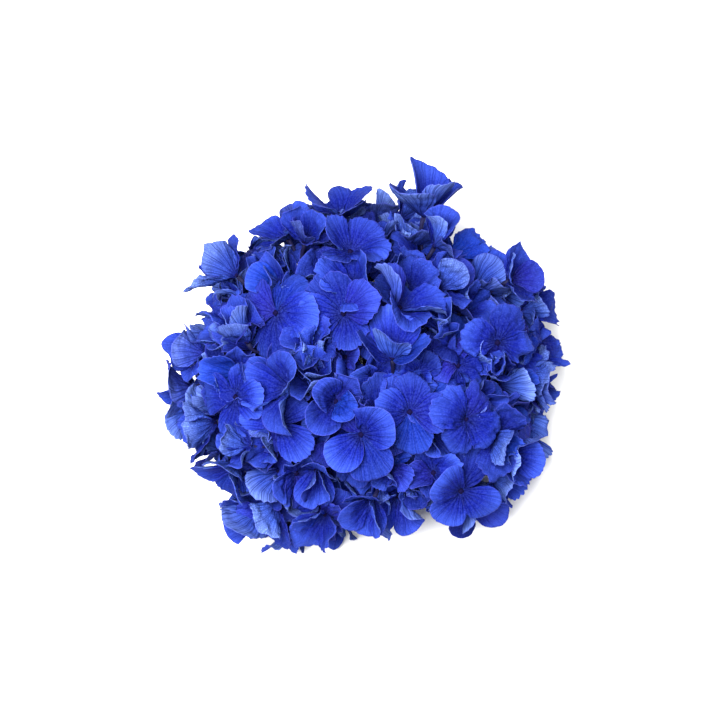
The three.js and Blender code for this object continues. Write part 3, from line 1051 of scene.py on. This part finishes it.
def coarse_normals(points, rows):
    """The way that each coarse point's sepal faces there."""
    grid = points.reshape(*points.shape[:2], rows, COARSE.columns, 3)
    normal = np.cross(np.gradient(grid, axis=2), np.gradient(grid, axis=3))
    normal /= np.maximum(np.linalg.norm(normal, axis=-1, keepdims=True), 1e-9)
    return normal.reshape(-1, 3)


def fitted_turns(spread):
    """The rotations that come nearest to these 3 by 3 matrices."""
    u, _, vt = np.linalg.svd(spread)
    flip = np.sign(np.linalg.det(u @ vt))
    u[..., :, 2] *= flip[..., None]
    return u @ vt


def press_apart(flat, facing, size, floret_of, sepal_of, outer):
    """Moves the points that have come too close to each other, in place."""
    # Sepals of different florets push each other apart.
    reach = SEPAL_CLEARANCE * (0.35 + 0.65 * size)
    i, j = close_pairs(flat, max(reach, SISTER_REACH * size))
    gap = flat[i] - flat[j]
    distance = np.maximum(np.linalg.norm(gap, axis=1), 1e-6)
    strangers = floret_of[i] != floret_of[j]
    push = np.where(strangers, np.clip(reach - distance, 0, None) * PUSH, 0)
    move = gap / distance[:, None] * push[:, None]
    # Sepals of one floret keep their order, one above and the next below.
    sisters = ~strangers & (sepal_of[i] != sepal_of[j]) & outer[i] & outer[j]
    order = (sepal_of[i] % 2 - sepal_of[j] % 2)[:, None]
    across = facing[i] + facing[j]
    across /= np.maximum(np.linalg.norm(across, axis=1, keepdims=True), 1e-6)
    across = np.where(order == 0, gap / distance[:, None], across * order)
    lack = np.clip(SISTER_STEP * size - (gap * across).sum(1), 0, 1.0) * SISTER_PUSH
    move += np.where(sisters, lack, 0)[:, None] * across
    active = (push > 0) | (sisters & (lack > 0))
    i, j, move = i[active], j[active], move[active]
    hits = np.bincount(i, minlength=len(flat)) + np.bincount(j, minlength=len(flat))
    for axis in range(3):
        total = (np.bincount(i, move[:, axis], len(flat))
                 - np.bincount(j, move[:, axis], len(flat)))
        flat[:, axis] += total / np.maximum(1, hits * 0.5)


def grow(florets):
    """Opens every floret from a bud to its full size while their sepals press each other aside,
    so that each ends with its own place in the crowd. It sets each floret's centre, and each
    sepal's turn and how far its coarse points have been pushed out of its free shape."""
    count = len(florets)
    rows = COARSE.rows - 1
    free = np.array([[sepal_points(g, COARSE)[0][1:] for g in f["genes"]] for f in florets])
    free = free.reshape(count, SEPALS, rows * COARSE.columns, 3)
    home = np.array([f["centre"] for f in florets])
    home_turn = np.array([frame_facing(f["facing"]) for f in florets])
    centre = home.copy()
    start = np.einsum("fij,fspj->fspi", home_turn, free)
    remembered = start.swapaxes(2, 3) @ free
    points = centre[:, None, None] + BUD_SIZE * start
    per_sepal = rows * COARSE.columns
    floret_of = np.repeat(np.arange(count), SEPALS * per_sepal)
    sepal_of = np.repeat(np.arange(count * SEPALS), per_sepal)
    outer = np.linalg.norm(free, axis=-1).ravel() > CROWDED_MIDDLE
    notable = np.array([f["habit"] is not None for f in florets])
    hold = np.where(notable, NOTABLE_HOLD, 1)[:, None] * FLORET_HOLD
    hinge = np.where(notable, NOTABLE_HINGE, 1)[:, None, None, None] * HINGE_STIFFNESS
    for step in range(GROWTH_STEPS):
        size = BUD_SIZE + (1 - BUD_SIZE) * min(1, step / (GROWN_AFTER * GROWTH_STEPS))
        # Each sepal's own turn about the floret's middle, drawn towards its free angle.
        arms = points - centre[:, None, None]
        spread = arms.swapaxes(2, 3) @ free * size
        memory = remembered * size * size
        turn = fitted_turns(spread + hinge * memory)
        goal = centre[:, None, None] + size * (free @ turn.swapaxes(2, 3))
        strain = points - goal
        points = points - SEPAL_STIFFNESS * strain
        centre = centre + 0.5 * strain.mean((1, 2)) + hold * (home - centre)
        flat = points.reshape(-1, 3)
        press_apart(flat, coarse_normals(points, rows), size, floret_of, sepal_of, outer)
        flat[:, 2] = np.maximum(flat[:, 2], FLOOR_CLEARANCE)
        points = flat.reshape(points.shape)
    for f, floret in enumerate(florets):
        floret["centre"] = centre[f]
        local = points[f] - centre[f]
        floret["sepal_turns"] = turn[f]
        unturned = np.einsum("sji,spj->spi", turn[f], local)
        shift = (unturned - free[f]).reshape(SEPALS, rows, COARSE.columns, 3)
        base = np.zeros((SEPALS, 1, COARSE.columns, 3))
        floret["shifts"] = np.concatenate([base, shift], axis=1)


def main():
    make_camera()
    make_lights()
    make_floor()
    petal, stalk = petal_material(), stalk_material()
    rng = np.random.default_rng(SEED)
    florets = floret_layout()
    cymes = gather_cymes(florets)
    inner = inner_layout()
    for floret in florets + inner:
        floret["centre"] = floret["centre"] + stem_axis()
        set_posture(rng, floret)
        floret["genes"] = [sepal_genes(rng, floret, k) for k in range(SEPALS)]
    grow(florets + inner)
    for floret in florets + inner:
        floret["grid"] = FINE if floret["number"] <= FLORETS else INNER
        lay_sheets(floret)
    tuck_tips(florets + inner)
    families = [list(cyme) for cyme in cymes]
    for floret in inner:
        make_floret(floret, petal)
        families[nearest_cyme(floret, cymes)].append(floret)
    for k, cyme in enumerate(cymes):
        for floret in cyme:
            piece = make_floret(floret, petal)
            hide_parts(f"cyme_{k + 1:02d}")
    make_stalks(families, stalk)


main()
